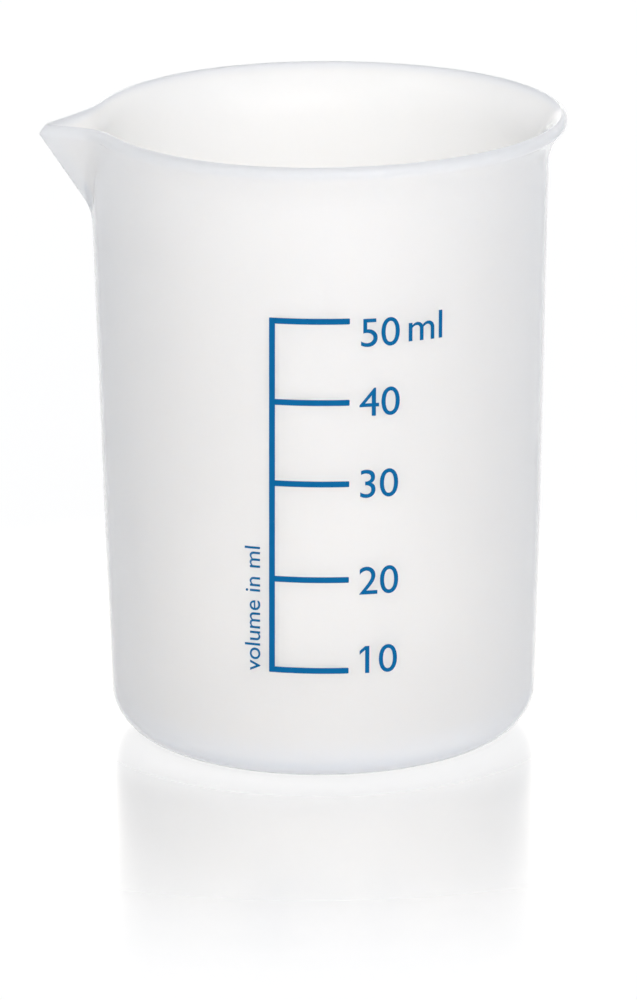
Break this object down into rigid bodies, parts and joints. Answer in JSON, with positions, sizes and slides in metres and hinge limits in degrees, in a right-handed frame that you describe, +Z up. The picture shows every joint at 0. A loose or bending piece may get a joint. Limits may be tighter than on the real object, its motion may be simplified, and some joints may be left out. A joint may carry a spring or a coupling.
{
  "type": "beaker",
  "caption": "Low-form laboratory beaker moulded in milky translucent plastic, with a flared lip, a drawn pouring spout and a printed volume scale on its wall.",
  "frame": {"origin": "centre of the flat underside of the base, on the vessel's axis", "axes": "+Z up along the vessel's axis, -X towards the spout, -Y towards the side that carries the printed scale"},
  "size_m": [0.0496, 0.0466, 0.06],
  "materials": {
    "body": "semi-gloss, milky and translucent",
    "ink": "printed blue ink"
  },
  "bodies": {
    "root": {"beaker_body": "body", "scale_stem": "ink", "graduation_10": "ink", "graduation_20": "ink", "graduation_30": "ink", "graduation_40": "ink", "graduation_50": "ink"}
  },
  "joints": []
}
